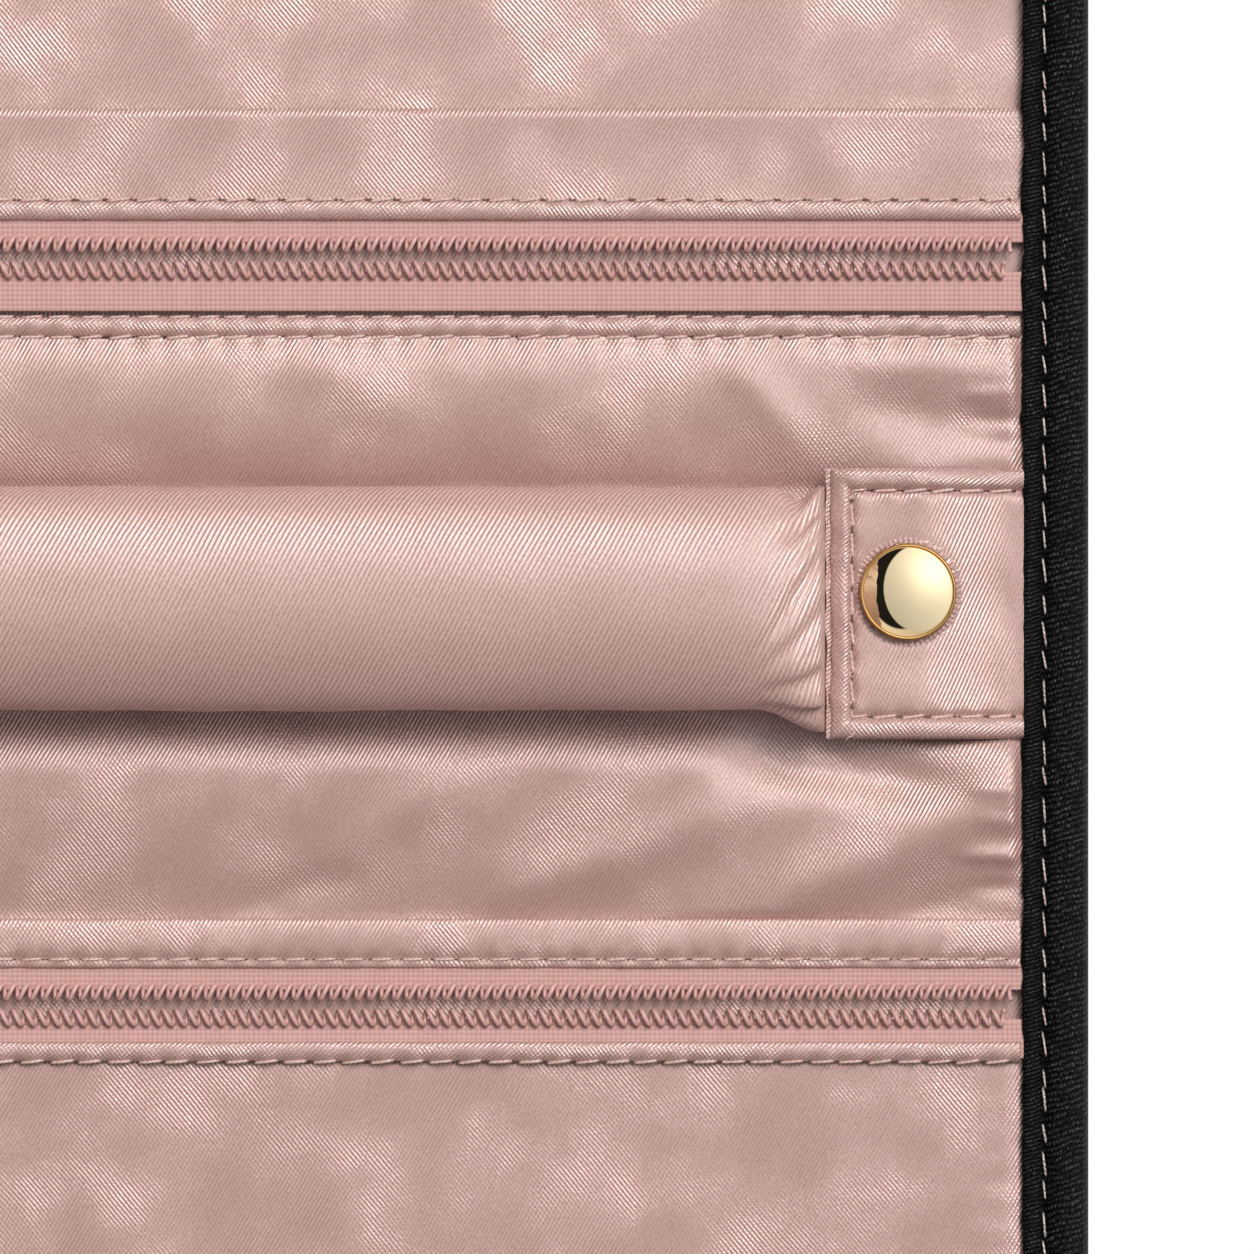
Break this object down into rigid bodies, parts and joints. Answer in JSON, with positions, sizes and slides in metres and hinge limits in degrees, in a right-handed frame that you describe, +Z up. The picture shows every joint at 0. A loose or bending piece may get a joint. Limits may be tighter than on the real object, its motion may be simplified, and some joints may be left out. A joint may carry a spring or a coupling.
{
  "type": "travel jewelry organizer",
  "caption": "Fold-flat fabric jewelry case with a stuffed ring bar under a snap flap, zipped pockets, necklace straps and a catch pocket.",
  "frame": {"origin": "centre of the base of the box round the opened case, on the surface it lies on", "axes": "+X across the case to the flap's side, +Y from the ring side over the spine to the necklace side, +Z up out of the inside"},
  "size_m": [0.216, 0.3852, 0.0202],
  "materials": {
    "satin": "dusty pink polyester satin, fine steep twill, soft sheen",
    "binding": "black ribbed grosgrain tape",
    "cover": "black woven polyester, matt",
    "foam": "closed-cell foam sheet",
    "gold": "polished pale gold plating",
    "zip_tape": "dyed zipper tape and nylon coil",
    "elastic": "satin casing gathered over elastic"
  },
  "bodies": {
    "ring_side": {"outer_cover_a": "cover", "foam_board_a": "foam", "lining_a": "satin", "binding_a": "binding", "pocket_panel": "satin", "pocket_hem": "satin", "pocket_zip_lower": "zip_tape", "pocket_zip_upper": "zip_tape", "hem_strip": "satin", "ring_panel": "satin", "seam_band": "satin", "ring_zip_lower": "zip_tape", "ring_zip_upper": "zip_tape", "upper_hem": "satin", "upper_panel": "satin", "ring_bar_anchor": "satin", "closure_socket": "gold"},
    "ring_bar": {"ring_bar": "satin", "ring_bar_tongue": "satin", "ring_bar_stud": "gold"},
    "snap_flap": {"snap_flap": "satin", "snap_socket": "gold", "snap_cap": "gold"},
    "ring_slider": {"ring_zip_slider": "gold"},
    "ring_pull": {"ring_zip_pull": "gold"},
    "pocket_slider": {"pocket_zip_slider": "gold"},
    "pocket_pull": {"pocket_zip_pull": "gold"},
    "spine": {"spine_cover": "cover", "spine_board": "foam", "spine_lining": "satin", "spine_binding_left": "binding", "spine_binding_right": "binding"},
    "necklace_side": {"outer_cover_b": "cover", "foam_board_b": "foam", "lining_b": "satin", "binding_b": "binding", "catch_pocket": "satin", "pocket_elastic": "elastic", "necklace_rail": "satin", "strap_stud_1": "gold", "strap_stud_2": "gold", "strap_stud_3": "gold", "strap_stud_4": "gold"},
    "strap_1": {"necklace_strap_1": "satin", "strap_socket_1": "gold", "strap_cap_1": "gold"},
    "strap_2": {"necklace_strap_2": "satin", "strap_socket_2": "gold", "strap_cap_2": "gold"},
    "strap_3": {"necklace_strap_3": "satin", "strap_socket_3": "gold", "strap_cap_3": "gold"},
    "strap_4": {"necklace_strap_4": "satin", "strap_socket_4": "gold", "strap_cap_4": "gold"},
    "closure_strap": {"closure_strap": "binding"},
    "closure_tip": {"closure_tip": "binding", "closure_post": "gold", "closure_cap": "gold"}
  },
  "joints": [
    {"name": "spine_fold", "type": "hinge", "parent": "ring_side", "child": "spine", "pos_m": [0, -0.04655, 0.007], "axis": [-1, 0, 0], "range_deg": [-90, 0]},
    {"name": "necklace_fold", "type": "hinge", "parent": "spine", "child": "necklace_side", "pos_m": [0, -0.02055, 0.007], "axis": [-1, 0, 0], "range_deg": [-90, 0]},
    {"name": "closure_bend", "type": "hinge", "parent": "necklace_side", "child": "closure_strap", "pos_m": [0, 0.12575, 0.0035], "axis": [-1, 0, 0], "range_deg": [-90, 0]},
    {"name": "closure_tip_bend", "type": "hinge", "parent": "closure_strap", "child": "closure_tip", "pos_m": [0, 0.16255, 0.0035], "axis": [-1, 0, 0], "range_deg": [-90, 0]},
    {"name": "flap_open", "type": "hinge", "parent": "ring_side", "child": "snap_flap", "pos_m": [0.1006, -0.09905, 0.0073], "axis": [0, 1, 0], "range_deg": [0, 140]},
    {"name": "bar_lift", "type": "hinge", "parent": "ring_side", "child": "ring_bar", "pos_m": [-0.0907, -0.09855, 0.0069], "axis": [0, -1, 0], "range_deg": [0, 90]},
    {"name": "ring_zip_slide", "type": "slide", "parent": "ring_side", "child": "ring_slider", "axis": [1, 0, 0], "range_m": [0, 0.172]},
    {"name": "ring_pull_swing", "type": "hinge", "parent": "ring_slider", "child": "ring_pull", "pos_m": [-0.0869, -0.06315, 0.0095], "axis": [0, -1, 0], "range_deg": [0, 170]},
    {"name": "pocket_zip_slide", "type": "slide", "parent": "ring_side", "child": "pocket_slider", "axis": [1, 0, 0], "range_m": [0, 0.172]},
    {"name": "pocket_pull_swing", "type": "hinge", "parent": "pocket_slider", "child": "pocket_pull", "pos_m": [-0.0869, -0.14055, 0.0095], "axis": [0, -1, 0], "range_deg": [0, 170]},
    {"name": "strap_open_1", "type": "hinge", "parent": "necklace_side", "child": "strap_1", "pos_m": [-0.063, 0.11345, 0.007], "axis": [-1, 0, 0], "range_deg": [0, 140]},
    {"name": "strap_open_2", "type": "hinge", "parent": "necklace_side", "child": "strap_2", "pos_m": [-0.021, 0.11345, 0.007], "axis": [-1, 0, 0], "range_deg": [0, 140]},
    {"name": "strap_open_3", "type": "hinge", "parent": "necklace_side", "child": "strap_3", "pos_m": [0.021, 0.11345, 0.007], "axis": [-1, 0, 0], "range_deg": [0, 140]},
    {"name": "strap_open_4", "type": "hinge", "parent": "necklace_side", "child": "strap_4", "pos_m": [0.063, 0.11345, 0.007], "axis": [-1, 0, 0], "range_deg": [0, 140]}
  ]
}
